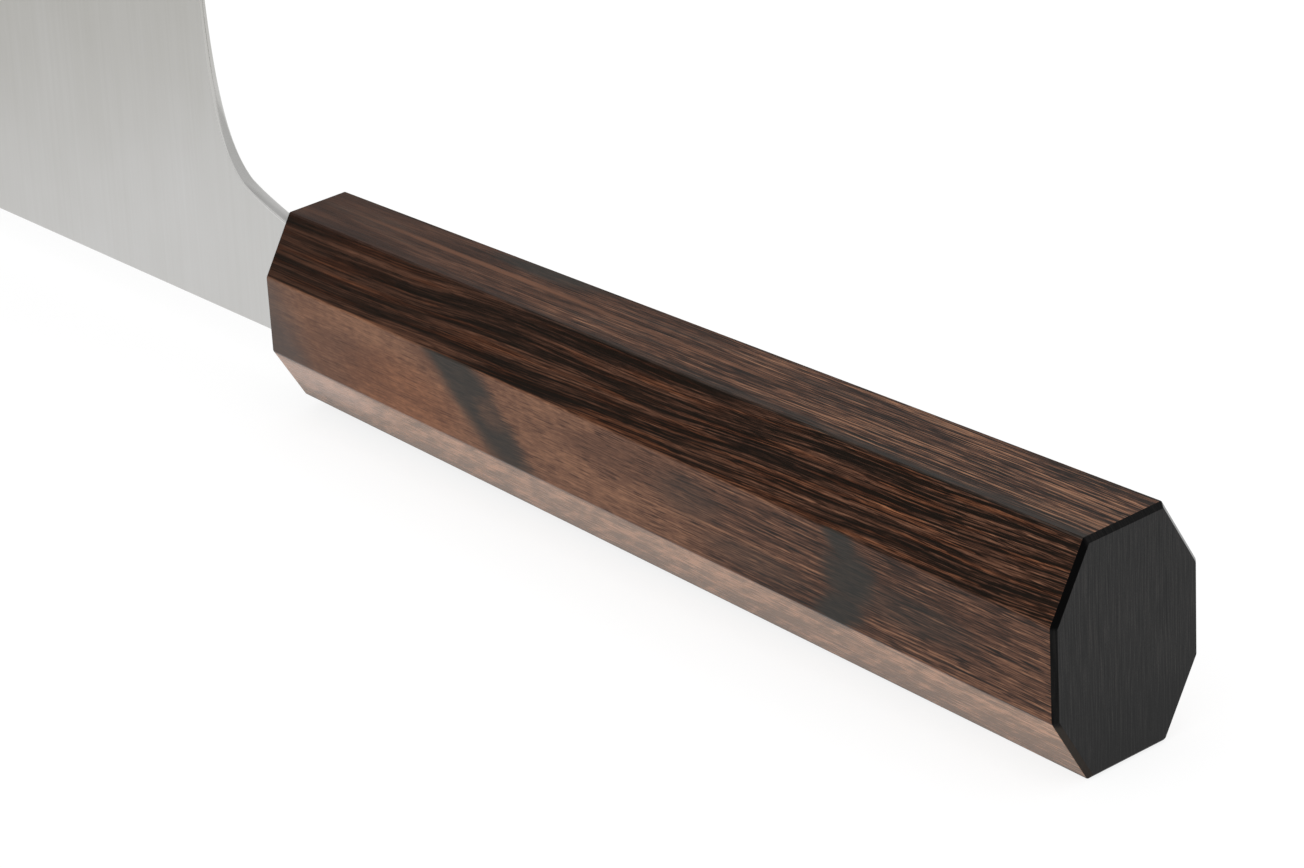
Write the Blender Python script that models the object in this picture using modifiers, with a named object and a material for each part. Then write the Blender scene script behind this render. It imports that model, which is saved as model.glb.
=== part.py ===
"""Nakiri knife: a flat-ground steel blade whose hidden tang is bedded in a tapered octagonal wood handle.

X runs along the handle towards the butt, Y across the blade, and Z up towards the cutting edge, as the knife
is seen in its picture. Outlines are drawn in (x, z), where x starts at the handle's front face and z at the
handle's middle line, and are then moved to their place.
"""
import math

import bmesh
import bpy
from mathutils import Matrix, Vector
from mathutils.geometry import interpolate_bezier

# Handle
HANDLE_LENGTH = 0.1255
FRONT_WIDTH = 0.0154
FRONT_HEIGHT = 0.0224
BUTT_WIDTH = 0.0202
BUTT_HEIGHT = 0.0261
FRONT_CORNER_CUT = 0.0040   # how far each cut corner reaches in from the side, at the front
BUTT_CORNER_CUT = 0.0047
CORNER_SLOPE = 1.68         # height of a cut corner over its width, the same all along, so facets stay flat
FRONT_CHAMFER = 0.0005
BUTT_CHAMFER = 0.0005
FACET_EASE = 0.00012         # the long edges between the facets are only just broken

# Blade
BLADE_LENGTH = 0.165
BLADE_HEIGHT = 0.050
SPINE_DROP = 0.00695        # from the handle's middle line down to the spine
SHEET_THICKNESS = 0.0021    # the steel before grinding, which the tang keeps
SPINE_THICKNESS = 0.0020
SHOULDER_THICKNESS = 0.0003   # where the flat grind ends and the edge bevel starts
EDGE_THICKNESS = 0.00006
EDGE_BEVEL_HEIGHT = 0.0006
EDGE_BELLY = 0.0016         # how far the edge has curved away from straight at the tip
BELLY_START = 0.070         # straight stretch of the edge behind the curve, from the heel
TIP_SWEEP_LENGTH = 0.026
TIP_SWEEP_HEIGHT = 0.021
TIP_CORNER_RADIUS = 0.0025
HEEL_CORNER_RADIUS = 0.0015
EDGE_EASE = 0.00018         # softened edges of spine and heel
EASE_MIN_THICKNESS = 0.0008   # thinner than this, the steel keeps its ground edges

# Neck and heel curve
NECK_HEIGHT = 0.0140
HEEL_SETBACK = 0.0179       # from the handle's front face to the heel
NECK_STRAIGHT = 0.0005      # level stretch of the neck in front of the handle
NECK_CURVE_PULL = 0.0031
THROAT_X = -0.0122          # the point where the neck's slope turns up into the heel
THROAT_RISE = 0.0035        # its height over the neck
THROAT_ANGLE = math.radians(143.3)
THROAT_PULL_BACK = 0.0014
THROAT_PULL_ON = 0.0057
HEEL_CURVE_RISE = 0.0308    # height over the neck at which the heel runs straight up
HEEL_CURVE_PULL = 0.0151

# Tang and its seat
NECK_GAP = 0.0001           # the ground neck stops this short of the handle
NECK_LAP = 0.0001           # the tang's full thickness starts this far inside the neck's end
NECK_SHOULDER = 0.0003      # how far the neck stands above and below the steel that enters the handle
ROOT_DEPTH = 0.0040         # how deep the tang's wide root goes into the handle
TANG_LENGTH = 0.085         # from the handle's front face
TANG_ROOT_HEIGHT = 0.0090
TANG_TIP_HEIGHT = 0.0060
TANG_TIP_RADIUS = 0.0025
TANG_FILLET = 0.0020
ROOT_CORNER_RADIUS = 0.0006
MORTISE_EXTRA_DEPTH = 0.005   # room for adhesive behind the tang
CLEARANCE = 0.0003

# Smoothness of drawn curves
ARC_STEPS = 6
SWEEP_STEPS = 20
BEZIER_STEPS = 18
BELLY_STEPS = 16
OVERSHOOT = 0.0006          # how far an outline passes a surface that trims it

# Worked out from the sizes above
REACH = HEEL_SETBACK + BLADE_LENGTH
FRONT_X = (REACH - HANDLE_LENGTH) / 2
AXIS_Z = BUTT_HEIGHT / 2
SPINE_Z = -SPINE_DROP
NECK_TOP_Z = SPINE_Z + NECK_HEIGHT
EDGE_Z = SPINE_Z + BLADE_HEIGHT
TANG_Z = SPINE_Z + NECK_HEIGHT / 2
HEEL_X = -HEEL_SETBACK
TIP_X = -REACH
GRIND_SLOPE = (SPINE_THICKNESS - SHOULDER_THICKNESS) / 2 / (BLADE_HEIGHT - EDGE_BEVEL_HEIGHT)
ROOT_HEIGHT = NECK_HEIGHT - 2 * NECK_SHOULDER
MORTISE_WIDTH = SHEET_THICKNESS + 2 * CLEARANCE
MORTISE_HEIGHT = ROOT_HEIGHT + 2 * CLEARANCE
MORTISE_DEPTH = TANG_LENGTH + MORTISE_EXTRA_DEPTH


def new_collection(name):
    collection = bpy.data.collections.new(name)
    bpy.context.scene.collection.children.link(collection)
    return collection


def new_material(name, color, roughness, metallic):
    material = bpy.data.materials.new(name)
    material.use_nodes = True
    shader = material.node_tree.nodes["Principled BSDF"]
    shader.inputs["Base Color"].default_value = (*color, 1.0)
    shader.inputs["Roughness"].default_value = roughness
    shader.inputs["Metallic"].default_value = metallic
    return material


def rounded(corners):
    """Outline through (x, z, radius) corners, each turned on an arc of its radius, or sharp at radius 0."""
    points = []
    count = len(corners)
    for i, (x, z, radius) in enumerate(corners):
        corner = Vector((x, z))
        if radius == 0:
            points.append(corner)
            continue
        back = (Vector(corners[i - 1][:2]) - corner).normalized()
        ahead = (Vector(corners[(i + 1) % count][:2]) - corner).normalized()
        half_angle = back.angle(ahead) / 2
        centre = corner + (back + ahead).normalized() * radius / math.sin(half_angle)
        reach = radius / math.tan(half_angle)
        start = corner + back * reach - centre
        end = corner + ahead * reach - centre
        sweep = end.angle_signed(start)
        for step in range(ARC_STEPS + 1):
            turn = Matrix.Rotation(sweep * step / ARC_STEPS, 2)
            points.append(centre + turn @ start)
    return points


def sharp(points):
    return [(x, z, 0.0) for x, z in points]


def plate(name, points, thickness):
    """Flat plate of an (x, z) outline, centred on the blade's middle plane."""
    curve = bpy.data.curves.new(name, 'CURVE')
    curve.dimensions = '2D'
    curve.fill_mode = 'BOTH'
    curve.extrude = thickness / 2
    spline = curve.splines.new('POLY')
    spline.points.add(len(points) - 1)
    for spot, (x, z) in zip(spline.points, points):
        spot.co = (x, z, 0.0, 1.0)
    spline.use_cyclic_u = True
    drawn = bpy.data.objects.new(name, curve)
    bpy.context.scene.collection.objects.link(drawn)
    drawn.rotation_euler = (math.pi / 2, 0.0, 0.0)
    drawn.location = (FRONT_X, 0.0, AXIS_Z)
    bpy.context.view_layer.update()
    mesh = bpy.data.meshes.new_from_object(drawn.evaluated_get(bpy.context.evaluated_depsgraph_get()))
    bm = bmesh.new()
    bm.from_mesh(mesh)
    bmesh.ops.remove_doubles(bm, verts=bm.verts, dist=1e-7)
    bmesh.ops.recalc_face_normals(bm, faces=bm.faces)
    bm.to_mesh(mesh)
    bm.free()
    solid = bpy.data.objects.new(name, mesh)
    solid.matrix_world = drawn.matrix_world
    bpy.data.objects.remove(drawn)
    bpy.data.curves.remove(curve)
    solid.name = name
    return solid


def loft(name, rings):
    """Closed solid through rings of equally many points, with a flat face at each end."""
    mesh = bpy.data.meshes.new(name)
    bm = bmesh.new()
    loops = [[bm.verts.new(point) for point in ring] for ring in rings]
    count = len(loops[0])
    for first, second in zip(loops, loops[1:]):
        for i in range(count):
            j = (i + 1) % count
            bm.faces.new((first[i], first[j], second[j], second[i]))
    bm.faces.new(loops[0])
    bm.faces.new(loops[-1])
    bmesh.ops.recalc_face_normals(bm, faces=bm.faces)
    bm.to_mesh(mesh)
    bm.free()
    return bpy.data.objects.new(name, mesh)


def as_cutter(obj, cutters):
    cutters.objects.link(obj)
    obj.hide_render = True
    obj.display_type = 'WIRE'


def add_boolean(obj, operation, other):
    modifier = obj.modifiers.new(operation.title(), 'BOOLEAN')
    modifier.operation = operation
    modifier.solver = 'EXACT'
    modifier.object = other


def apply_modifiers(obj):
    bpy.context.view_layer.update()
    graph = bpy.context.evaluated_depsgraph_get()
    mesh = bpy.data.meshes.new_from_object(obj.evaluated_get(graph))
    obj.modifiers.clear()
    obj.data = mesh


def half_thickness(z):
    """Half the steel's thickness at height z: full at the spine, ground evenly thinner towards the edge."""
    return SPINE_THICKNESS / 2 - GRIND_SLOPE * (z - SPINE_Z)


def edge_height(x):
    """Height of the cutting edge at x: straight from the heel, then curving away towards the tip."""
    curve_length = BLADE_LENGTH - BELLY_START
    along = max(0.0, (HEEL_X - BELLY_START - x) / curve_length)
    return EDGE_Z - EDGE_BELLY * along ** 2


def heel_curve():
    """From the neck's top at the handle, through the throat, up to where the heel runs straight."""
    neck = Vector((-NECK_STRAIGHT, NECK_TOP_Z))
    throat = Vector((THROAT_X, NECK_TOP_Z + THROAT_RISE))
    heel = Vector((HEEL_X, NECK_TOP_Z + HEEL_CURVE_RISE))
    along = Vector((math.cos(THROAT_ANGLE), math.sin(THROAT_ANGLE)))
    neck_pull = neck - Vector((NECK_CURVE_PULL, 0.0))
    lower = interpolate_bezier(neck, neck_pull, throat - along * THROAT_PULL_BACK, throat, BEZIER_STEPS)
    heel_pull = heel - Vector((0.0, HEEL_CURVE_PULL))
    upper = interpolate_bezier(throat, throat + along * THROAT_PULL_ON, heel_pull, heel, BEZIER_STEPS)
    return [(point.x, point.y) for point in lower + upper[1:]]


def tip_sweep():
    """Quarter ellipse from the front of the blade round to the spine."""
    points = []
    for step in range(SWEEP_STEPS + 1):
        turn = math.pi / 2 * step / SWEEP_STEPS
        x = TIP_X + TIP_SWEEP_LENGTH * (1 - math.cos(turn))
        z = SPINE_Z + TIP_SWEEP_HEIGHT * (1 - math.sin(turn))
        points.append((x, z))
    return points


def tang_corners(grow):
    """Tang from its upper shoulder round to its lower one, with room of grow all round."""
    root = TANG_ROOT_HEIGHT / 2 + grow
    tip = TANG_TIP_HEIGHT / 2 + grow
    shoulder_x = ROOT_DEPTH + grow
    tip_x = TANG_LENGTH + grow
    return [
        (shoulder_x, TANG_Z + root, TANG_FILLET - grow),
        (tip_x, TANG_Z + tip, TANG_TIP_RADIUS + grow),
        (tip_x, TANG_Z - tip, TANG_TIP_RADIUS + grow),
        (shoulder_x, TANG_Z - root, TANG_FILLET - grow),
    ]


def blade_outline():
    """Blade and neck as one flat shape. Along the edge it passes the grind, which trims it."""
    edge_side = [
        (HEEL_X, EDGE_Z + OVERSHOOT, HEEL_CORNER_RADIUS),
        (TIP_X, EDGE_Z - EDGE_BELLY + OVERSHOOT, TIP_CORNER_RADIUS),
    ]
    neck_end = sharp([(-NECK_GAP, SPINE_Z), (-NECK_GAP, NECK_TOP_Z)])
    return rounded(sharp(heel_curve()) + edge_side + sharp(tip_sweep()) + neck_end)


def tang_outline():
    """Wide root that starts in the neck's end, and the tang behind it."""
    start = -NECK_GAP - NECK_LAP
    top = TANG_Z + ROOT_HEIGHT / 2
    bottom = TANG_Z - ROOT_HEIGHT / 2
    root_bottom = [(start, bottom, 0.0), (ROOT_DEPTH, bottom, ROOT_CORNER_RADIUS)]
    root_top = [(ROOT_DEPTH, top, ROOT_CORNER_RADIUS), (start, top, 0.0)]
    return rounded(root_bottom + tang_corners(0.0)[::-1] + root_top)


def grind_body():
    """Wedge that the blade is ground to: flat flanks and a small bevel that follows the cutting edge."""
    start_x = TIP_X - OVERSHOOT
    end_x = OVERSHOOT
    belly_x = HEEL_X - BELLY_START
    stations = [end_x] + [belly_x + (start_x - belly_x) * i / BELLY_STEPS for i in range(BELLY_STEPS + 1)]
    low = SPINE_Z - OVERSHOOT
    rings = []
    for x in stations:
        edge = edge_height(x)
        shoulder = edge - EDGE_BEVEL_HEIGHT
        side = [
            (half_thickness(low), low),
            (half_thickness(shoulder), shoulder),
            (EDGE_THICKNESS / 2, edge),
        ]
        ring = side + [(-y, z) for y, z in reversed(side)]
        rings.append([(x + FRONT_X, y, z + AXIS_Z) for y, z in ring])
    return loft("grind_body", rings)


def ease_edges(obj):
    """Round over the long sharp edges of spine, neck and heel, where the steel is thick enough."""
    bm = bmesh.new()
    bm.from_mesh(obj.data)
    bm.transform(obj.matrix_world)
    obj.matrix_world = Matrix.Identity(4)
    flat = math.radians(1.0)
    bmesh.ops.dissolve_limit(bm, angle_limit=flat / 50, verts=bm.verts, edges=bm.edges)
    limit_z = SPINE_Z + (SPINE_THICKNESS - EASE_MIN_THICKNESS) / 2 / GRIND_SLOPE + AXIS_Z
    picked = []
    for edge in bm.edges:
        along = (edge.verts[1].co - edge.verts[0].co).normalized()
        right_angled = edge.calc_face_angle(0.0) > math.radians(60)
        in_front = min(v.co.x for v in edge.verts) < FRONT_X - NECK_GAP - EDGE_EASE
        thick = max(v.co.z for v in edge.verts) < limit_z
        if right_angled and abs(along.y) < 0.5 and in_front and thick:
            picked.append(edge)
    bmesh.ops.bevel(bm, geom=picked, offset=EDGE_EASE, segments=2, profile=0.5, affect='EDGES')
    bm.to_mesh(obj.data)
    bm.free()


def make_blade(parts, cutters, steel):
    blade = plate("blade", blade_outline(), SHEET_THICKNESS)
    parts.objects.link(blade)
    grind = grind_body()
    as_cutter(grind, cutters)
    add_boolean(blade, 'INTERSECT', grind)
    apply_modifiers(blade)
    ease_edges(blade)
    tang = plate("tang_stock", tang_outline(), SHEET_THICKNESS)
    as_cutter(tang, cutters)
    add_boolean(blade, 'UNION', tang)
    apply_modifiers(blade)
    blade.data.materials.clear()
    blade.data.materials.append(steel)
    blade.data.shade_smooth()
    blade.data.set_sharp_from_angle(angle=math.radians(20))


def octagon(x, width, height, corner_cut):
    """Ring of the handle at x: an upright rectangle with its corners cut."""
    a = width / 2
    b = height / 2
    p = a - corner_cut
    q = b - corner_cut * CORNER_SLOPE
    corners = [(p, b), (a, q), (a, -q), (p, -b), (-p, -b), (-a, -q), (-a, q), (-p, b)]
    return [(x + FRONT_X, y, z + AXIS_Z) for y, z in corners]


def ease_handle(handle):
    """One bevel with a weight per edge: the chamfer at each end and the crisp lines between facets."""
    widest = max(FRONT_CHAMFER, BUTT_CHAMFER, FACET_EASE)
    weights = handle.data.attributes.new("bevel_weight_edge", 'FLOAT', 'EDGE')
    for edge in handle.data.edges:
        ends = [handle.data.vertices[i].co.x - FRONT_X for i in edge.vertices]
        if min(ends) > HANDLE_LENGTH / 2:
            width = BUTT_CHAMFER
        elif max(ends) < HANDLE_LENGTH / 2:
            width = FRONT_CHAMFER
        else:
            width = FACET_EASE
        weights.data[edge.index].value = width / widest
    bevel = handle.modifiers.new("Bevel", 'BEVEL')
    bevel.limit_method = 'WEIGHT'
    bevel.width = widest
    bevel.segments = 1


def mortise_cutter():
    """Rectangular slot for neck, tang and adhesive, open at the handle's front face."""
    mesh = bpy.data.meshes.new("mortise_cutter")
    bm = bmesh.new()
    length = MORTISE_DEPTH + OVERSHOOT
    bmesh.ops.create_cube(bm, size=1.0)
    bmesh.ops.scale(bm, vec=(length, MORTISE_WIDTH, MORTISE_HEIGHT), verts=bm.verts)
    bmesh.ops.translate(bm, vec=(length / 2 - OVERSHOOT, 0.0, TANG_Z), verts=bm.verts)
    bm.to_mesh(mesh)
    bm.free()
    cutter = bpy.data.objects.new("mortise_cutter", mesh)
    cutter.location = (FRONT_X, 0.0, AXIS_Z)
    return cutter


def make_handle(parts, cutters, wood):
    front = octagon(0.0, FRONT_WIDTH, FRONT_HEIGHT, FRONT_CORNER_CUT)
    butt = octagon(HANDLE_LENGTH, BUTT_WIDTH, BUTT_HEIGHT, BUTT_CORNER_CUT)
    handle = loft("handle", [front, butt])
    parts.objects.link(handle)
    ease_handle(handle)
    mortise = mortise_cutter()
    as_cutter(mortise, cutters)
    add_boolean(handle, 'DIFFERENCE', mortise)
    handle.data.materials.append(wood)


def make_adhesive(parts, resin):
    """Cured filling of the mortise: it lies above, below and behind the tang, and ends at its shoulders."""
    front = ROOT_DEPTH + CLEARANCE
    back = MORTISE_DEPTH - CLEARANCE
    top = TANG_Z + MORTISE_HEIGHT / 2 - CLEARANCE
    bottom = TANG_Z - MORTISE_HEIGHT / 2 + CLEARANCE
    outside = sharp([(front, bottom), (back, bottom), (back, top), (front, top)])
    adhesive = plate("tang_adhesive", rounded(outside + tang_corners(CLEARANCE)), MORTISE_WIDTH - 2 * CLEARANCE)
    parts.objects.link(adhesive)
    adhesive.data.materials.append(resin)


def main():
    for obj in list(bpy.data.objects):
        bpy.data.objects.remove(obj)
    parts = new_collection("nakiri_knife")
    cutters = new_collection("cutters")
    steel = new_material("satin_steel", (0.58, 0.57, 0.55), 0.34, 1.0)
    wood = new_material("laminated_wood", (0.115, 0.068, 0.048), 0.42, 0.0)
    resin = new_material("cured_adhesive", (0.16, 0.11, 0.06), 0.35, 0.0)
    make_blade(parts, cutters, steel)
    make_handle(parts, cutters, wood)
    make_adhesive(parts, resin)


main()
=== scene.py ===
"""Looks of the nakiri knife: satin steel, dark laminated wood and a plain pale studio."""

import math

import bmesh
import bpy
from mathutils import Matrix, Vector
from mathutils.geometry import interpolate_bezier


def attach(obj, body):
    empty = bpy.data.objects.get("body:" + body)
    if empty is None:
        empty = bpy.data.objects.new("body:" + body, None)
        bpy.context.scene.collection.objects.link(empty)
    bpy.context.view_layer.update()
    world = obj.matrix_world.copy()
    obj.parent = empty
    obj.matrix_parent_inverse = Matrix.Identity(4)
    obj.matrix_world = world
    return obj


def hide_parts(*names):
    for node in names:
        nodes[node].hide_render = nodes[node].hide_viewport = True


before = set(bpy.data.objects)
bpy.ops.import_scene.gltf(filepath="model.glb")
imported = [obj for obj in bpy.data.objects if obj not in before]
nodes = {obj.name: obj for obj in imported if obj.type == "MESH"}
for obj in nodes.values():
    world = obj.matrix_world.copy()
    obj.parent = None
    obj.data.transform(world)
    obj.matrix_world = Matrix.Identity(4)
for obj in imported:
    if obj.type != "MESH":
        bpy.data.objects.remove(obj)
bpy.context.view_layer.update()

MM = 0.001

# Where the handle starts along the frame's X, and its middle line's height
FRONT_X = 28.7 * MM
AXIS_Z = 13.05 * MM

# Handle, whose corner cuts are CORNER_SLOPE times as high as wide
HANDLE_LENGTH = 125.5 * MM
FRONT_WIDTH, FRONT_HEIGHT, FRONT_CUT = 15.4 * MM, 22.4 * MM, 4.0 * MM
BUTT_WIDTH, BUTT_HEIGHT, BUTT_CUT = 20.2 * MM, 26.1 * MM, 4.7 * MM
CORNER_SLOPE = 1.68
FRONT_FAR_CUT = 3.5 * MM     # the top face's far edge lies farther out at the front
END_CHAMFER = 0.5 * MM
FACET_EASE, FACET_EASE_STEPS = 0.1 * MM, 3
CREASE_ANGLE = 15.0          # facets meet at more than this, in degrees

# Slot for the tang
MORTISE_WIDTH, MORTISE_HEIGHT, MORTISE_DEPTH = 2.7 * MM, 14.0 * MM, 90.0 * MM
SLOT_OVERSHOOT = 1.0 * MM    # how far its cutter stands out of the handle's front
TANG_Z = 0.05 * MM

# Blade, from the handle's front face and middle line
BLADE_LENGTH, BLADE_HEIGHT = 165.25 * MM, 50.0 * MM
SPINE_Z = -6.95 * MM
EDGE_Z = SPINE_Z + BLADE_HEIGHT
SPINE_THICKNESS, SHOULDER_THICKNESS, EDGE_THICKNESS = 2.0 * MM, 0.3 * MM, 0.06 * MM
EDGE_BEVEL = 0.6 * MM
EDGE_BELLY, BELLY_START = 1.6 * MM, 70.0 * MM
HEEL_X = -17.65 * MM
TIP_X = HEEL_X - BLADE_LENGTH
SWEEP_LENGTH, SWEEP_HEIGHT = 26.0 * MM, 21.0 * MM
TIP_CORNER, HEEL_CORNER = 2.5 * MM, 1.5 * MM

# The steel's rounded edges
SPINE_EASE, HEEL_EASE = 0.2 * MM, 0.65 * MM
EASE_LIMIT = 0.8             # of half the thickness, where the steel is thin
EASE_RIM = 0.05 * MM         # flat strip inside the rounding, which keeps the flank's shading flat
EASE_STEPS = 6

# Neck and heel curve: two Bezier curves that meet in the throat, and how far their ends pull them
NECK_END = -0.1 * MM
NECK_TOP = SPINE_Z + 14.25 * MM
NECK_CURVE_X, NECK_PULL = -0.5 * MM, 3.1 * MM
THROAT = Vector((-12.0 * MM, NECK_TOP + 3.5 * MM))
THROAT_WAY = Vector((math.cos(math.radians(143.3)), math.sin(math.radians(143.3))))
THROAT_PULL_BACK, THROAT_PULL_ON = 1.4 * MM, 5.7 * MM
HEEL_CURVE_RISE, HEEL_CURVE_PULL = 30.8 * MM, 15.1 * MM

# Points or steps along the blade's outline
NECK_POINTS, HEEL_POINTS = 40, 56
HEEL_CORNER_STEPS, EDGE_STEPS, TIP_CORNER_STEPS, SWEEP_STEPS = 12, 72, 16, 64

# Tang, as high as the slot less the adhesive round it
TANG_THICKNESS = 2.1 * MM
ROOT_START, ROOT_DEPTH, ROOT_HEIGHT = -0.2 * MM, 4.0 * MM, 13.4 * MM
TANG_LENGTH, TANG_HEIGHT, TANG_TIP_HEIGHT = 85.0 * MM, 9.0 * MM, 6.0 * MM

# What decides a face's material, in parts of its normal: along x, for the far upper end chamfers
# also along y and z, and along y for the blade's flanks
END_FACING, LONG_FACING = 0.93, 0.30
FAR_FACING, UP_FACING = 0.3, 0.2
FLANK_FACING = 0.985
SHARP_ANGLE = 35.0           # shading breaks at sharper edges, in degrees

# Linear colours of the wood, from black to orange brown, dull and fiery
DULL_WOOD = [
    (0.00, (0.0085, 0.0050, 0.0030)),
    (0.25, (0.0255, 0.0120, 0.0072)),
    (0.50, (0.0750, 0.0335, 0.0200)),
    (0.75, (0.1620, 0.0755, 0.0445)),
    (1.00, (0.3200, 0.1600, 0.0900)),
]
FIERY_WOOD = [
    (0.00, (0.0085, 0.0045, 0.0022)),
    (0.25, (0.0290, 0.0105, 0.0052)),
    (0.50, (0.0880, 0.0320, 0.0150)),
    (0.75, (0.1950, 0.0740, 0.0340)),
    (1.00, (0.3800, 0.1550, 0.0700)),
]

# Darkest and palest colour of the wood's other parts, and its single colours
# the faces that turn down: wood painted pale with reflected floor light
WOOD_WITH_PAINTED_REFLECTION = (0.2200, 0.1210, 0.0670), (0.5400, 0.2880, 0.1720)
SLATE = (0.0225, 0.0230, 0.0205), (0.0460, 0.0385, 0.0320)
PLUM = (0.0170, 0.0105, 0.0090), (0.0420, 0.0270, 0.0225)
SOOT = (0.0165, 0.0155, 0.0140), (0.0440, 0.0370, 0.0320)
# painted light on the end chamfer where it faces down on the near side
PAINTED_LIT_CHAMFER = (0.0290, 0.0250, 0.0220), (0.0450, 0.0370, 0.0310)
# painted highlight at the front of the faces that turn down
PAINTED_GLARE = (0.6800, 0.5000, 0.4300)
VEIL = (0.0720, 0.0670, 0.0640)
WARM_STREAK = (0.2000, 0.0880, 0.0480)
# painted shade on the end chamfer where it faces up on the near side
BLACK = (0.0006, 0.0006, 0.0006)

# Tints of the end grain, times its level
END_GRAIN = [
    (0.0, (0.55, 0.55, 0.56)),
    (0.6, (1.00, 0.98, 0.97)),
    (1.0, (1.60, 1.50, 1.45)),
]

STEEL = [(0.0, (0.4420, 0.4340, 0.4080)), (1.0, (0.6080, 0.6040, 0.5940))]
# painted highlight on the neck's top
NECK_HIGHLIGHT_PAINT = (0.9300, 0.9200, 0.9050)
ADHESIVE = [(0.3, (0.13, 0.085, 0.045)), (0.7, (0.19, 0.13, 0.075))]

# Studio, with the floor's grey for bounced light, and its grey and glow for camera and reflections
FLOOR_RADIUS, FLOOR_SIDES = 4.0, 96
FLOOR_PLAIN, FLOOR_FAINT, FLOOR_GLOW = 0.90, 0.20, 0.84
LAMP_PLACE, LAMP_SIZE, LAMP_POWER = (0.0, -0.40, 1.70), 2.8, 22.0
DARK_SIDE = (-0.92, -0.106, 0.37)

# Camera, solved from the handle's corners in the photograph
CAMERA_PLACE = (0.454176, -0.312363, 0.240398)
CAMERA_RIGHT = (0.66357166, 0.74634237, -0.05143657)
CAMERA_UP = (-0.287284, 0.31769976, 0.90362313)
CAMERA_BACK = (0.69075361, -0.5848418, 0.42522878)
CAMERA_LENS, CAMERA_SENSOR = 139.71, 36.0
CAMERA_CLIP = (0.01, 20.0)


class Field:
    """A number worked out in a material, written as a plain formula."""

    def __init__(self, tree, socket):
        self.tree = tree
        self.socket = socket

    def _math(self, operation, *others, clamp=False):
        node = self.tree.nodes.new("ShaderNodeMath")
        node.operation = operation
        node.use_clamp = clamp
        self.tree.links.new(self.socket, node.inputs[0])
        for i, other in enumerate(others, 1):
            plug(self.tree, other, node.inputs[i])
        return Field(self.tree, node.outputs[0])

    def __add__(self, other):
        return self._math("ADD", other)

    def __sub__(self, other):
        return self._math("SUBTRACT", other)

    def __mul__(self, other):
        return self._math("MULTIPLY", other)

    def __truediv__(self, other):
        return self._math("DIVIDE", other)

    def abs(self):
        return self._math("ABSOLUTE")

    def squared(self):
        return self * self

    def inverted(self):
        """1 less the field."""
        return self * -1.0 + 1.0

    def clamped(self):
        return self._math("ADD", 0.0, clamp=True)

    def lowest(self, other):
        return self._math("MINIMUM", other)

    def highest(self, *others):
        """The highest of this field and the others."""
        result = self
        for other in others:
            result = result._math("MAXIMUM", other)
        return result

    def rise(self, low, high, bottom=0.0, top=1.0):
        """Goes smoothly from bottom at low to top at high."""
        node = self.tree.nodes.new("ShaderNodeMapRange")
        node.interpolation_type = 'SMOOTHSTEP'
        plug(self.tree, self, node.inputs["Value"])
        numbers = {"From Min": low, "From Max": high, "To Min": bottom, "To Max": top}
        for name, number in numbers.items():
            node.inputs[name].default_value = number
        return Field(self.tree, node.outputs["Result"])

    def fall(self, low, high):
        """Goes smoothly from 1 at low to 0 at high."""
        return self.rise(low, high, 1.0, 0.0)


def plug(tree, value, socket):
    """Sets a socket to a number or colour, or links it to a field."""
    if isinstance(value, Field):
        tree.links.new(value.socket, socket)
    else:
        socket.default_value = value


def coordinates(tree, kind):
    """The three fields of a texture coordinate."""
    node = tree.nodes.new("ShaderNodeTexCoord")
    split = tree.nodes.new("ShaderNodeSeparateXYZ")
    tree.links.new(node.outputs[kind], split.inputs[0])
    return [Field(tree, output) for output in split.outputs]


def place_in_mm(tree):
    """Millimetres: x from the handle's front face, y across the blade, z from the middle line."""
    x, y, z = coordinates(tree, "Object")
    return x * 1000.0 - FRONT_X / MM, y * 1000.0, z * 1000.0 - AXIS_Z / MM


def noise(tree, x, y, z, detail=2.0, roughness=0.5):
    """Soft random field round 0.5, one lump per unit of its coordinates."""
    vector = tree.nodes.new("ShaderNodeCombineXYZ")
    for value, socket in zip((x, y, z), vector.inputs):
        plug(tree, value, socket)
    node = tree.nodes.new("ShaderNodeTexNoise")
    node.noise_dimensions = '3D'
    tree.links.new(vector.outputs[0], node.inputs["Vector"])
    node.inputs["Scale"].default_value = 1.0
    node.inputs["Detail"].default_value = detail
    node.inputs["Roughness"].default_value = roughness
    return Field(tree, node.outputs["Fac"])


def spot(x, z, centre_x, centre_z, reach_x, reach_z, lean=0.0, core=0.0):
    """1 at the middle of a leaning oval, falling to 0 just outside it.

    core is how far out it stays 1, as a squared part of its reach."""
    along = (x - centre_x - (z - centre_z) * lean) / reach_x
    across = (z - centre_z) / reach_z
    return (along.squared() + across.squared()).fall(core, 1.4)


def blend(tree, factor, first, second):
    """Colour that goes from first to second as factor goes from 0 to 1."""
    node = tree.nodes.new("ShaderNodeMix")
    node.data_type = 'RGBA'
    plug(tree, factor, node.inputs["Factor"])
    sockets = [socket for socket in node.inputs if socket.type == 'RGBA']
    for value, socket in zip((first, second), sockets):
        plug(tree, value if isinstance(value, Field) else (*value, 1.0), socket)
    return Field(tree, next(socket for socket in node.outputs if socket.type == 'RGBA'))


def ramp(tree, factor, stops):
    """Colour that runs through the stops, which are places from 0 to 1 with their colours."""
    node = tree.nodes.new("ShaderNodeValToRGB")
    plug(tree, factor, node.inputs[0])
    band = node.color_ramp
    while len(band.elements) < len(stops):
        band.elements.new(1.0)
    for element, (position, color) in zip(band.elements, stops):
        element.position = position
        element.color = (*color, 1.0)
    return Field(tree, node.outputs["Color"])


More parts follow.
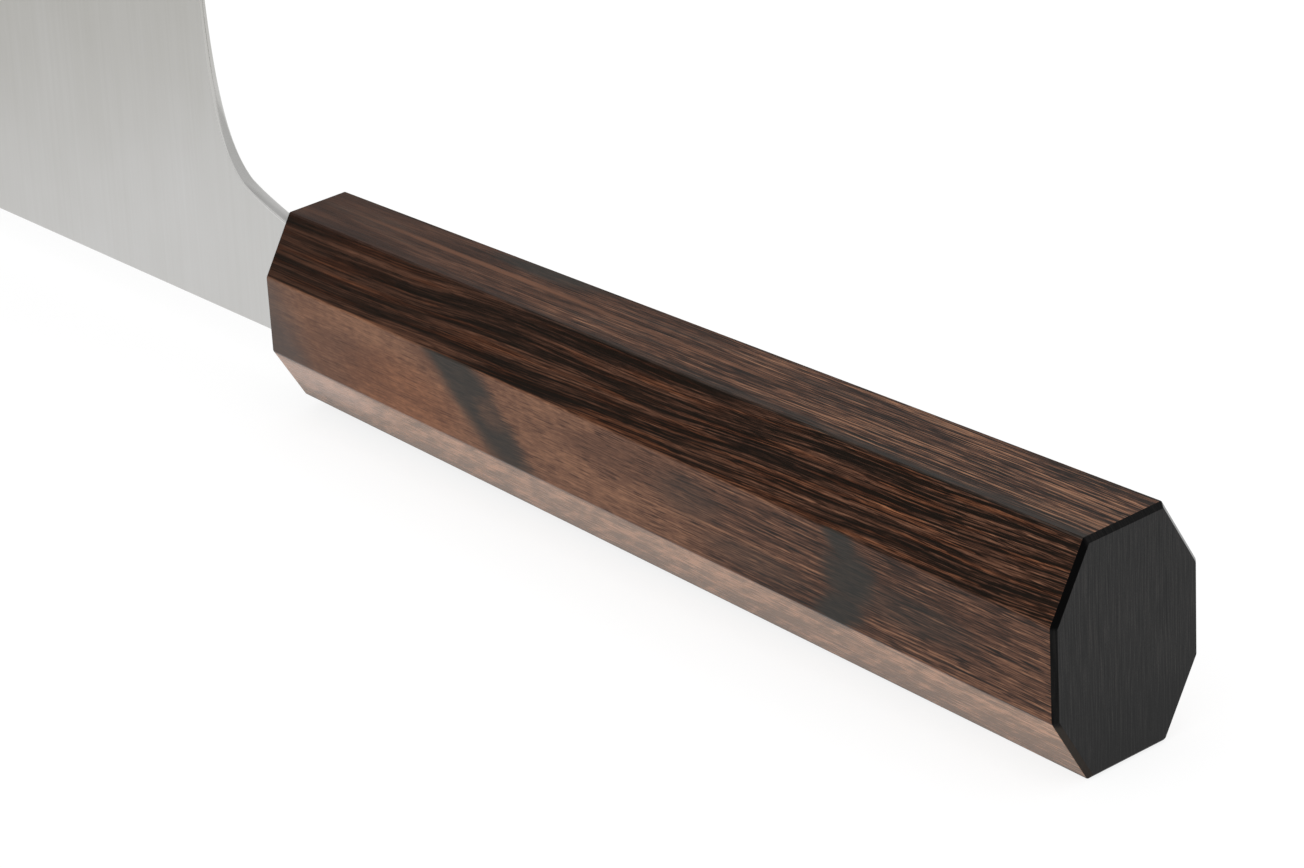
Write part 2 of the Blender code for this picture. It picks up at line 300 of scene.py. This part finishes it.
def bump(tree, shader, height, distance, strength):
    node = tree.nodes.new("ShaderNodeBump")
    node.inputs["Strength"].default_value = strength
    node.inputs["Distance"].default_value = distance
    plug(tree, height, node.inputs["Height"])
    tree.links.new(node.outputs["Normal"], shader.inputs["Normal"])


def new_material(name):
    material = bpy.data.materials.new(name)
    material.use_nodes = True
    tree = material.node_tree
    return material, tree, tree.nodes["Principled BSDF"]


class Wood:
    """What the wood's colours share: place in millimetres, noises, and masks of the faces."""

    def __init__(self, tree):
        x, y, z = place_in_mm(tree)
        self.x, self.y, self.z = x, y, z

        # the veneers are stacked along y and wave a little
        wave = noise(tree, x / 40.0, y / 5.0, z / 8.0, detail=1.0) - 0.5
        ripple = noise(tree, x / 12.0, y / 1.5, z / 2.5, detail=1.0) - 0.5
        layer = y + wave * 1.3 + ripple * 0.09
        self.layer = layer

        # lines that follow the veneers
        self.broad = noise(tree, x / 34.0, layer / 0.50, z / 6.0) - 0.5
        self.narrow = noise(tree, x / 19.0, layer / 0.13 + 31.0, z / 2.6, roughness=0.65) - 0.5
        self.line = noise(tree, x / 21.0, layer / 0.080 + 17.0, z / 1.1, detail=1.0) - 0.5
        self.rule = noise(tree, x / 11.0, layer / 0.19 + 41.0, z / 3.0, detail=1.0) - 0.5

        # grain inside a veneer
        self.grain = noise(tree, x / 14.0, y / 0.6 + 23.0, z / 0.19, roughness=0.6) - 0.5
        self.dash = noise(tree, x / 7.5, y / 0.20 + 3.0, z / 0.18, detail=1.0) - 0.5
        self.fibre = noise(tree, x / 2.4, y / 0.14, z / 0.14, roughness=0.6)
        self.pore = noise(tree, x / 3.0, y / 0.11 + 7.0, z / 0.12, detail=0.0).rise(0.58, 0.72)

        # slow changes of tone, and specks
        self.shade = noise(tree, x / 22.0, y / 3.0 + 5.0, z / 5.0, detail=1.0) - 0.5
        self.cloud = noise(tree, x / 20.0, y / 1.7 + 9.0, 2.0, roughness=0.6) - 0.5
        self.speck = noise(tree, x / 1.1, y / 0.5 + 29.0, z / 0.45, roughness=0.6) - 0.5

        # depth below the upright sides, and below the top and bottom faces
        widening = (BUTT_WIDTH - FRONT_WIDTH) / 2 / HANDLE_LENGTH
        heightening = (BUTT_HEIGHT - FRONT_HEIGHT) / 2 / HANDLE_LENGTH
        side_depth = x * widening + FRONT_WIDTH / 2 / MM - y.abs()
        self.top_depth = x * heightening + FRONT_HEIGHT / 2 / MM - z.abs()

        self.on_side = side_depth.fall(0.05, 0.16)
        self.on_top = self.top_depth.fall(0.10, 0.24)
        self.on_bevel = self.on_side.inverted() * self.on_top.inverted()
        self.below = z.rise(-4.0, -5.5) * self.on_bevel
        self.near = y.fall(-1.0, 1.0)

        # the surface is crisper towards the butt
        self.crispness = x * 0.0090 + 0.26


def brownness(wood):
    """How brown the wood is, from 0 black to 1 orange brown."""
    x = wood.x
    crispness, broad, dash, shade = wood.crispness, wood.broad, wood.dash, wood.shade

    # slanting faces, which cut the veneers at an angle
    streaks = broad * (crispness * 0.4 + 1.1)
    streaks = streaks + (wood.narrow * 0.9 + wood.line * 1.7 + dash * 0.4) * crispness
    streaks = streaks + x.rise(35.0, 60.0, 0.26, 0.29) - x.rise(92.0, 112.0, 0.0, 0.06)
    streaks = streaks.lowest(0.55) + (streaks.highest(0.55) - 0.55) * 0.5

    # upright sides, each of which shows a single veneer
    darker = x.rise(50.0, 95.0)
    calm = wood.grain * (darker * 1.3 + 0.15) + dash * (darker * 0.7 + 0.1)
    calm = calm + wood.speck * (darker * -0.15 + 0.30)
    calm = calm + broad * 0.3 + shade * 0.35 - darker * 0.27 + 0.80

    # top and bottom faces, which cut the veneers square
    upper = broad * x.rise(8.0, 45.0, 0.40, 0.70) + wood.cloud * 0.8 + shade * 0.4
    upper = upper + dash * crispness * 0.6 + 0.475
    upper = upper + (wood.rule * 1.5 + wood.narrow * 1.2 + wood.line * 1.2) * crispness.squared()

    brown = streaks + (calm - streaks) * wood.on_side
    brown = brown + (upper - brown) * wood.on_top
    fine = (wood.fibre - 0.5) * crispness * (wood.on_top * 0.4 + 0.75)
    return (brown + fine - wood.pore * crispness * 0.30).clamped()


def brown_colour(tree, wood):
    """Brown, more fiery in places on the slanting faces and in a stain on the near side."""
    x, z = wood.x, wood.z
    brown = brownness(wood)
    ember = noise(tree, x / 16.0, wood.layer / 0.35 + 11.0, z / 2.0, detail=1.0).rise(0.46, 0.66)
    stain = spot(x, z, 24.0, -2.5, 11.0, 5.0) * wood.on_side * wood.near
    fire = (ember * wood.on_bevel * 0.9).highest(stain * 0.6)
    return blend(tree, fire, ramp(tree, brown, DULL_WOOD), ramp(tree, brown, FIERY_WOOD))


def painted_reflection_colour(tree, wood):
    """Colour of the slanting faces that turn down: the wood with soft slanting mottles, painted
    paler with reflected floor light, most towards the front, and darker along the lower edge.
    """
    x, y, z = wood.x, wood.y, wood.z
    low = (z + 4.6) / -7.2
    mottle = noise(tree, (x * 2.0 + z) / 9.0, y / 2.0 + 13.0, (z * 2.0 - x) / 2.4) - 0.5
    tone = mottle * 2.2 + wood.rule * wood.crispness * 1.9 + wood.broad * 0.6
    tone = tone + (wood.fibre - 0.5) * (wood.crispness * 0.8 + 1.3) + wood.shade * 0.5
    tone = tone + (low - 0.32).abs().rise(0.0, 0.28, 0.16, 0.0) - low * x * 0.0017
    tone = tone + x.rise(0.0, 14.0, 0.32, 0.0) + (low * -1.0 + 0.5) * x.rise(5.0, 45.0, 0.50, 0.0)
    tone = tone - wood.top_depth.rise(0.2, 1.3, 0.28, 0.0) * x.rise(60.0, 100.0, 1.0, 0.2)
    pale = blend(tree, (tone - x * 0.0010 + 0.36).clamped(), *WOOD_WITH_PAINTED_REFLECTION)
    # painted highlight: a pale glare at the front of these faces
    painted_glare = spot(x, z, 3.0, -6.4, 17.0, 3.4) * 0.4
    return blend(tree, painted_glare, pale, PAINTED_GLARE)


def dress_near_side(tree, wood, colour, slate):
    """Slate-dark figures on the near side, faint where they run on below, and a veil in front."""
    x, z = wood.x, wood.z
    waver = noise(tree, x / 7.0, 3.0, z / 3.5) - 0.5
    xs = x + waver * 3.0 + (wood.fibre - 0.5) * 2.2

    slant = spot(xs, z, 35.1, 3.0, 5.2, 12.0, lean=-1.12, core=0.2)
    slant = slant * (spot(xs, z, 40.0, 0.4, 3.0, 2.2) * -0.30 + 1.0)
    hook = spot(xs, z, 97.0, 0.6, 4.4, 3.8, core=0.1).highest(
        spot(xs, z, 95.5, 4.4, 2.6, 3.2, lean=-0.4, core=0.1),
        spot(xs, z, 95.0, -3.8, 3.8, 3.4, lean=0.7, core=0.1))
    finger = spot(xs, z, 106.0, -0.4, 9.0, 2.4)
    lens = spot(xs, z, 72.0, 1.3, 6.0, 2.8).highest(spot(xs, z, 82.5, -2.5, 9.0, 1.8))
    figure = slant.highest(hook, finger * 0.5, lens * 0.4)

    where = wood.near * (wood.on_side + wood.below * 0.3)
    colour = blend(tree, figure * where * 0.94, colour, slate)
    veil = (xs + z * 0.6 - 4.0).rise(-4.0, 5.0, 0.72, 0.0)
    return blend(tree, veil * where, colour, VEIL)


def dress_edge_side(tree, wood, colour, slate):
    """Dark band, slate patches and two warm streaks on the top face, the cutting edge's side."""
    x, y, z = wood.x, wood.y, wood.z
    rule, cloud, crispness = wood.rule, wood.cloud, wood.crispness
    where = wood.on_top * z.rise(-1.0, 1.0)

    rim = y + x.rise(0.0, 60.0, 1.9, 3.5) + x * 0.004 + cloud * 2.2 + rule * 1.6
    rim = rim.fall(-0.9, 1.0)
    lined = (rule * 2.5 + wood.narrow * 2.0) * crispness + x.rise(75.0, 105.0, 0.62, 0.90)
    rim = (rim * lined.clamped()).highest(x.rise(6.0, 40.0, 0.40, 0.0))
    plum, soot = blend(tree, wood.fibre, *PLUM), blend(tree, wood.fibre, *SOOT)
    colour = blend(tree, rim * where, colour, blend(tree, x.rise(25.0, 60.0), plum, soot))

    patch = spot(x + cloud * 10.0, y, 36.0, 3.6, 9.0, 1.5, core=0.1) * 0.8
    smoke = cloud.rise(0.02, 0.18, 0.0, 0.35)
    colour = blend(tree, patch.highest(smoke) * where, colour, slate)

    warm = spot(x, y - x * -0.009, 33.0, 1.0, 27.0, 0.46)
    warm = warm.highest(spot(x, y - x * -0.004, 66.0, 0.5, 14.0, 0.30) * 0.8)
    return blend(tree, warm * where * 0.6, colour, WARM_STREAK)


def wood_material():
    """Thin veneers stained black and brown, parallel to the blade and cut by the facets."""
    material, tree, shader = new_material("laminated_wood")
    wood = Wood(tree)
    slate = blend(tree, wood.fibre.rise(0.3, 0.8), *SLATE)
    # painted light: the faces that turn down get a colour painted pale with reflected floor light
    colour = blend(tree, wood.below, brown_colour(tree, wood), painted_reflection_colour(tree, wood))
    colour = dress_near_side(tree, wood, colour, slate)
    colour = dress_edge_side(tree, wood, colour, slate)
    plug(tree, colour, shader.inputs["Base Color"])
    gloss = wood.fibre.rise(0.2, 0.8, 0.29, 0.38) - wood.below * 0.08
    plug(tree, gloss, shader.inputs["Roughness"])
    shader.inputs["Specular IOR Level"].default_value = 0.12
    bump(tree, shader, wood.fibre - wood.pore * 0.8, distance=0.006 * MM, strength=0.6)
    return material


def end_grain_material(name, specular, roughness, level, painted_light=False):
    """The wood cut across: near black, with the veneers as faint upright lines and one fine crack.

    With painted light on, it is painted paler where it faces down on the near side, as floor light
    makes it, and painted black as shade where it faces up there."""
    material, tree, shader = new_material(name)
    x, y, z = place_in_mm(tree)
    wave = noise(tree, 1.0, y / 6.0, z / 12.0, detail=1.0) - 0.5
    lines = noise(tree, 2.0, (y + wave * 0.5) / 0.20, z / 6.0, roughness=0.65)
    grit = noise(tree, x / 0.2, y / 0.08, z / 0.16, detail=1.0)
    crack = (y - 5.4 + wave * 0.3).abs().fall(0.05, 0.13)
    crack = crack * (z - 3.0).abs().fall(2.0, 3.4)
    value = (lines - 0.5) * 2.9 + (grit - 0.5) * 0.9 + 0.52 - crack * 1.4
    # painted shade: the end grain is darker towards the bottom
    value = value - z.rise(-14.0, 4.0, 0.34, 0.0)
    stops = [(position, [level * part for part in tint]) for position, tint in END_GRAIN]
    colour = ramp(tree, value.clamped(), stops)
    if painted_light:
        # painted light where the chamfer faces down, painted shade where it faces up
        painted_lit = z.fall(-6.0, -5.2) * y.fall(-5.2, -4.6)
        colour = blend(tree, painted_lit, colour, blend(tree, lines, *PAINTED_LIT_CHAMFER))
        black = z.rise(4.7, 5.3) * y.fall(-5.5, -5.1)
        colour = blend(tree, black, colour, BLACK)
    plug(tree, colour, shader.inputs["Base Color"])
    shine = lines.rise(0.3, 0.7, roughness - 0.04, roughness + 0.06)
    plug(tree, shine, shader.inputs["Roughness"])
    shader.inputs["Specular IOR Level"].default_value = specular
    bump(tree, shader, lines + grit * 0.4 - crack, distance=0.004 * MM, strength=0.5)
    return material


def steel_material(name, roughness, painted_neck_highlight=0.0):
    """Stainless steel with fine lines ground from spine to edge, and painted shade that makes it
    darker towards the edge and the tip.

    Towards the handle it is never smoother than satin. Its last argument sets a painted highlight
    on the neck's top."""
    material, tree, shader = new_material(name)
    x, y, z = place_in_mm(tree)
    lines = noise(tree, x / 0.07, y / 3.0, z / 14.0, detail=3.0, roughness=0.7)
    strokes = noise(tree, x / 0.55 + 5.0, y / 3.0, z / 34.0, detail=3.0, roughness=0.65)
    cloud = noise(tree, x / 9.0, y / 5.0, z / 13.0)
    value = (lines - 0.5) * 0.30 + (strokes - 0.5) * 0.28 + (cloud - 0.5) * 0.50
    # painted shade: darker towards the edge and the tip
    value = value + (z - x * 0.318).rise(5.0, 48.0, 0.90, 0.08)
    # painted highlight along the neck's top
    neck = x.rise(-13.0, -6.0) * z.rise(0.0, 3.0) * painted_neck_highlight
    colour = blend(tree, neck, ramp(tree, value.clamped(), STEEL), NECK_HIGHLIGHT_PAINT)
    plug(tree, colour, shader.inputs["Base Color"])
    shader.inputs["Metallic"].default_value = 1.0
    shine = (lines - 0.5) * roughness * 0.3 + (cloud - 0.5) * roughness * 0.2 + roughness
    plug(tree, shine.highest(x.rise(-14.0, -7.0, 0.0, 0.42)), shader.inputs["Roughness"])
    bump(tree, shader, lines, distance=0.0012 * MM, strength=0.35)
    return material


def resin_material():
    """Cured adhesive, which shows nowhere from outside."""
    material, tree, shader = new_material("cured_adhesive")
    x, y, z = place_in_mm(tree)
    cloud = noise(tree, x / 2.0, y / 2.0, z / 2.0, detail=3.0)
    plug(tree, ramp(tree, cloud, ADHESIVE), shader.inputs["Base Color"])
    shader.inputs["Roughness"].default_value = 0.35
    bump(tree, shader, cloud, distance=0.02 * MM, strength=0.5)
    return material


def place(x, y, z):
    """Point of the frame for lengths from the handle's front face and middle line."""
    return Vector((x + FRONT_X, y, z + AXIS_Z))


def to_mesh(bm, name):
    mesh = bpy.data.meshes.new(name)
    bm.to_mesh(mesh)
    bm.free()
    return mesh


def add_object(name, data):
    obj = bpy.data.objects.new(name, data)
    bpy.context.scene.collection.objects.link(obj)
    return obj


def apply_modifiers(obj):
    bpy.context.view_layer.update()
    evaluated = obj.evaluated_get(bpy.context.evaluated_depsgraph_get())
    mesh = bpy.data.meshes.new_from_object(evaluated)
    obj.modifiers.clear()
    obj.data = mesh


def combine(obj, operation, tool):
    """Adds or cuts away another solid, which is then removed."""
    change = obj.modifiers.new("Combine", 'BOOLEAN')
    change.operation = operation
    change.solver = 'EXACT'
    change.object = tool
    apply_modifiers(obj)
    bpy.data.objects.remove(tool)


def crisp(obj):
    """Smooth shading that keeps large faces flat and sharp edges sharp."""
    obj.data.shade_smooth()
    obj.data.set_sharp_from_angle(angle=math.radians(SHARP_ANGLE))
    even = obj.modifiers.new("Even", 'WEIGHTED_NORMAL')
    even.weight = 100
    even.keep_sharp = True
    apply_modifiers(obj)


def give_materials(obj, *materials):
    obj.data.materials.clear()
    for material in materials:
        obj.data.materials.append(material)


def octagon(x, width, height, cut, far_cut):
    """Section of the handle at x, with a cut of its own for the top face's far corner."""
    a, b = width / 2, height / 2
    p, q = a - cut, b - cut * CORNER_SLOPE
    corners = [(a - far_cut, b), (a, q), (a, -q), (p, -b), (-p, -b), (-a, -q), (-a, q), (-p, b)]
    return [place(x, y, z) for y, z in corners]


def handle_body():
    """Tapered octagon with chamfered ends and just-broken long edges."""
    bm = bmesh.new()
    rings = [octagon(0.0, FRONT_WIDTH, FRONT_HEIGHT, FRONT_CUT, FRONT_FAR_CUT),
             octagon(HANDLE_LENGTH, BUTT_WIDTH, BUTT_HEIGHT, BUTT_CUT, BUTT_CUT)]
    loops = [[bm.verts.new(point) for point in ring] for ring in rings]
    for i in range(8):
        j = (i + 1) % 8
        bm.faces.new((loops[0][i], loops[0][j], loops[1][j], loops[1][i]))
    ends = [bm.faces.new(loop) for loop in loops]
    bmesh.ops.recalc_face_normals(bm, faces=bm.faces)
    rims = [edge for face in ends for edge in face.edges]
    bmesh.ops.bevel(bm, geom=rims, offset=END_CHAMFER, segments=1, affect='EDGES')
    least = math.radians(CREASE_ANGLE)
    creases = [edge for edge in bm.edges if edge.calc_face_angle(0.0) > least]
    bmesh.ops.bevel(bm, geom=creases, offset=FACET_EASE, segments=FACET_EASE_STEPS, profile=0.5,
                    affect='EDGES')
    return to_mesh(bm, "handle_wood")


def slot_body():
    """Cutter for the tang's slot."""
    bm = bmesh.new()
    bmesh.ops.create_cube(bm, size=1.0)
    size = (MORTISE_DEPTH + SLOT_OVERSHOOT, MORTISE_WIDTH, MORTISE_HEIGHT)
    bmesh.ops.scale(bm, vec=size, verts=bm.verts)
    middle = place((MORTISE_DEPTH - SLOT_OVERSHOOT) / 2, 0.0, TANG_Z)
    bmesh.ops.translate(bm, vec=middle, verts=bm.verts)
    return to_mesh(bm, "slot")


def handle_material(normal):
    """Index of a face's material: 0 long faces, 1 ends, 2 end chamfers, 3 far upper ones."""
    if abs(normal.x) > END_FACING:
        return 1
    if abs(normal.x) <= LONG_FACING:
        return 0
    return 3 if normal.y > FAR_FACING and normal.z > UP_FACING else 2


def make_handle(wood, end_grain, chamfer, far_chamfer):
    handle = add_object("handle_wood", handle_body())
    combine(handle, 'DIFFERENCE', add_object("slot", slot_body()))
    give_materials(handle, wood, end_grain, chamfer, far_chamfer)
    for face in handle.data.polygons:
        face.material_index = handle_material(face.normal)
    crisp(handle)
    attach(handle, "root")
    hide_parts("handle")


def half_thickness(z):
    """Half the steel's thickness at height z, ground evenly thinner from spine to bevel."""
    way = (z - SPINE_Z) / (BLADE_HEIGHT - EDGE_BEVEL)
    return (SPINE_THICKNESS + (SHOULDER_THICKNESS - SPINE_THICKNESS) * way) / 2


def edge_height(x):
    """Height of the cutting edge at x: straight from the heel, then curving back to the tip."""
    along = max(0.0, (HEEL_X - BELLY_START - x) / (BLADE_LENGTH - BELLY_START))
    return EDGE_Z - EDGE_BELLY * along ** 2


def corner_arc(centre, radius, start, end, steps):
    """Points of an arc, with its angles in degrees."""
    turns = [math.radians(start + (end - start) * i / steps) for i in range(steps + 1)]
    return [centre + Vector((math.cos(turn), math.sin(turn))) * radius for turn in turns]


def heel_curve():
    """From the neck's top at the handle through the throat to where the heel runs straight up."""
    neck = Vector((NECK_CURVE_X, NECK_TOP))
    heel = Vector((HEEL_X, NECK_TOP + HEEL_CURVE_RISE))
    low = interpolate_bezier(neck, neck - Vector((NECK_PULL, 0.0)),
                             THROAT - THROAT_WAY * THROAT_PULL_BACK, THROAT, NECK_POINTS)
    high = interpolate_bezier(THROAT, THROAT + THROAT_WAY * THROAT_PULL_ON,
                              heel - Vector((0.0, HEEL_CURVE_PULL)), heel, HEEL_POINTS)
    return [Vector((NECK_END, NECK_TOP))] + low + high[1:]


def blade_outline():
    """Blade and neck from the side, from the neck's top round by heel, edge, tip and spine."""
    start, front = HEEL_X - HEEL_CORNER, TIP_X + TIP_CORNER
    heel_centre = Vector((start, EDGE_Z - HEEL_CORNER))
    tip_centre = Vector((front, edge_height(front) - TIP_CORNER))
    points = heel_curve()
    points += corner_arc(heel_centre, HEEL_CORNER, 0.0, 90.0, HEEL_CORNER_STEPS)
    for i in range(1, EDGE_STEPS):
        x = start + (front - start) * i / EDGE_STEPS
        points.append(Vector((x, edge_height(x))))
    points += corner_arc(tip_centre, TIP_CORNER, 90.0, 180.0, TIP_CORNER_STEPS)
    for i in range(SWEEP_STEPS + 1):
        turn = math.pi / 2 * i / SWEEP_STEPS
        points.append(Vector((TIP_X + SWEEP_LENGTH * (1 - math.cos(turn)),
                              SPINE_Z + SWEEP_HEIGHT * (1 - math.sin(turn)))))
    points.append(Vector((NECK_END, SPINE_Z)))
    return points


def blade_profile(point, outward):
    """One side of the steel's border, flank to rounded edge: points with half thicknesses."""
    bevel = min(1.0, max(0.0, (edge_height(point.x) - point.y) / EDGE_BEVEL))
    if bevel == 1.0:
        half = half_thickness(point.y)
    else:
        shoulder = half_thickness(edge_height(point.x) - EDGE_BEVEL)
        half = shoulder * bevel + EDGE_THICKNESS / 2 * (1 - bevel)
    behind_heel = point.x > HEEL_X - HEEL_CORNER and point.y > 0.0
    ease = min(HEEL_EASE if behind_heel else SPINE_EASE, half * EASE_LIMIT)
    inner = point - outward * (ease + EASE_RIM)
    inner.y = min(inner.y, edge_height(inner.x) - EDGE_BEVEL)
    profile = [(inner, half_thickness(inner.y))]
    for i in range(EASE_STEPS + 1):
        turn = math.pi / 2 * i / EASE_STEPS
        at = point - outward * ease * (1 - math.sin(turn))
        profile.append((at, half - ease * (1 - math.cos(turn))))
    return profile


def blade_body():
    """Both flat flanks, joined all round by the border's sections."""
    outline = blade_outline()
    last = len(outline) - 1
    bm = bmesh.new()
    rings = []
    for i, point in enumerate(outline):
        if i in (0, last):
            outward = Vector((0.0, 1.0 if i == 0 else -1.0))
        else:
            along = (outline[i + 1] - outline[i - 1]).normalized()
            outward = Vector((along.y, -along.x))
        profile = blade_profile(point, outward)
        ring = [(at, -half) for at, half in profile]
        ring += [(at, half) for at, half in reversed(profile)]
        rings.append([bm.verts.new(place(at.x, y, at.y)) for at, y in ring])
    for first, second in zip(rings, rings[1:]):
        for k in range(len(first) - 1):
            bm.faces.new((first[k], first[k + 1], second[k + 1], second[k]))
    bm.faces.new([ring[0] for ring in rings])
    bm.faces.new([ring[-1] for ring in rings])
    bm.faces.new(rings[0] + rings[-1][::-1])
    bmesh.ops.recalc_face_normals(bm, faces=bm.faces)
    return to_mesh(bm, "blade_steel")


def tang_body():
    """Wide root and tapering tang, flat on both sides."""
    root, tang, tip = ROOT_HEIGHT / 2, TANG_HEIGHT / 2, TANG_TIP_HEIGHT / 2
    upper = [(ROOT_START, root), (ROOT_DEPTH, root), (ROOT_DEPTH, tang), (TANG_LENGTH, tip)]
    outline = [(x, TANG_Z + z) for x, z in upper] + [(x, TANG_Z - z) for x, z in reversed(upper)]
    count = len(outline)
    bm = bmesh.new()
    near, far = [[bm.verts.new(place(x, y, z)) for x, z in outline]
                 for y in (-TANG_THICKNESS / 2, TANG_THICKNESS / 2)]
    for i in range(count):
        j = (i + 1) % count
        bm.faces.new((near[i], near[j], far[j], far[i]))
    for side in (near, far):
        bm.faces.new(side)
    bmesh.ops.recalc_face_normals(bm, faces=bm.faces)
    return to_mesh(bm, "tang")


def make_blade(satin, polished):
    blade = add_object("blade_steel", blade_body())
    combine(blade, 'UNION', add_object("tang", tang_body()))
    crisp(blade)
    give_materials(blade, satin, polished)
    for face in blade.data.polygons:
        face.material_index = 0 if abs(face.normal.y) > FLANK_FACING else 1
    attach(blade, "root")
    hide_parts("blade")


def diffuse(tree, level):
    """Plain grey that scatters light."""
    node = tree.nodes.new("ShaderNodeBsdfDiffuse")
    node.inputs["Color"].default_value = (level, level, level, 1.0)
    return node


def floor_material():
    """Pale grey for the light that falls on it, near white to the camera and in reflections."""
    material = bpy.data.materials.new("pale_floor")
    material.use_nodes = True
    tree = material.node_tree
    tree.nodes.clear()
    path = tree.nodes.new("ShaderNodeLightPath")
    camera, glossy, transmission = (
        Field(tree, path.outputs[name])
        for name in ("Is Camera Ray", "Is Glossy Ray", "Is Transmission Ray"))
    seen = (camera + glossy + transmission).clamped()
    plain, faint = diffuse(tree, FLOOR_PLAIN), diffuse(tree, FLOOR_FAINT)
    glow = tree.nodes.new("ShaderNodeEmission")
    glow.inputs["Color"].default_value = (1.0, 1.0, 1.0, 1.0)
    glow.inputs["Strength"].default_value = FLOOR_GLOW
    both = tree.nodes.new("ShaderNodeAddShader")
    tree.links.new(faint.outputs[0], both.inputs[0])
    tree.links.new(glow.outputs[0], both.inputs[1])
    pick = tree.nodes.new("ShaderNodeMixShader")
    plug(tree, seen, pick.inputs[0])
    tree.links.new(plain.outputs[0], pick.inputs[1])
    tree.links.new(both.outputs[0], pick.inputs[2])
    output = tree.nodes.new("ShaderNodeOutputMaterial")
    tree.links.new(pick.outputs[0], output.inputs[0])
    return material


def make_floor():
    bm = bmesh.new()
    bmesh.ops.create_circle(bm, cap_ends=True, segments=FLOOR_SIDES, radius=FLOOR_RADIUS)
    floor = add_object("floor", to_mesh(bm, "floor"))
    give_materials(floor, floor_material())


def make_lamp():
    """One broad soft light overhead that faces the knife."""
    light = bpy.data.lights.new("overhead", 'AREA')
    light.shape = 'RECTANGLE'
    light.size = LAMP_SIZE
    light.size_y = LAMP_SIZE
    light.energy = LAMP_POWER
    lamp = add_object("overhead", light)
    lamp.location = LAMP_PLACE
    lamp.rotation_euler = Vector(LAMP_PLACE).to_track_quat('Z', 'Y').to_euler()
    lamp.visible_camera = False
    lamp.visible_glossy = False


def make_room():
    """Grey all round with one darker side, white from the horizon down and for the camera."""
    world = bpy.data.worlds.new("room")
    bpy.context.scene.world = world
    world.use_nodes = True
    tree = world.node_tree
    x, y, z = coordinates(tree, "Generated")
    facing_dark = x * DARK_SIDE[0] + y * DARK_SIDE[1] + z * DARK_SIDE[2]
    horizon = z.fall(0.02, 0.07)
    path = tree.nodes.new("ShaderNodeLightPath")
    camera = Field(tree, path.outputs["Is Camera Ray"])
    level = facing_dark.rise(0.50, 0.85, 0.70, 0.20).highest(horizon, camera)
    plug(tree, level, tree.nodes["Background"].inputs["Color"])


def make_camera():
    data = bpy.data.cameras.new("camera")
    data.sensor_fit = 'HORIZONTAL'
    data.sensor_width = CAMERA_SENSOR
    data.lens = CAMERA_LENS
    data.clip_start, data.clip_end = CAMERA_CLIP
    camera = add_object("camera", data)
    turn = Matrix((CAMERA_RIGHT, CAMERA_UP, CAMERA_BACK)).transposed().to_4x4()
    camera.matrix_world = Matrix.Translation(CAMERA_PLACE) @ turn
    bpy.context.scene.camera = camera


make_camera()
make_floor()
make_lamp()
make_room()
bpy.context.scene.view_settings.view_transform = 'Standard'
make_handle(
    wood_material(),
    end_grain_material("end_grain", specular=0.12, roughness=0.40, level=0.0215),
    end_grain_material("end_chamfer", specular=0.04, roughness=0.45, level=0.0085, painted_light=True),
    end_grain_material("glossy_chamfer", specular=0.50, roughness=0.20, level=0.0215),
)
make_blade(
    steel_material("satin_steel", roughness=0.42),
    steel_material("polished_steel", roughness=0.20, painted_neck_highlight=0.6),
)
give_materials(nodes["tang_adhesive"], resin_material())
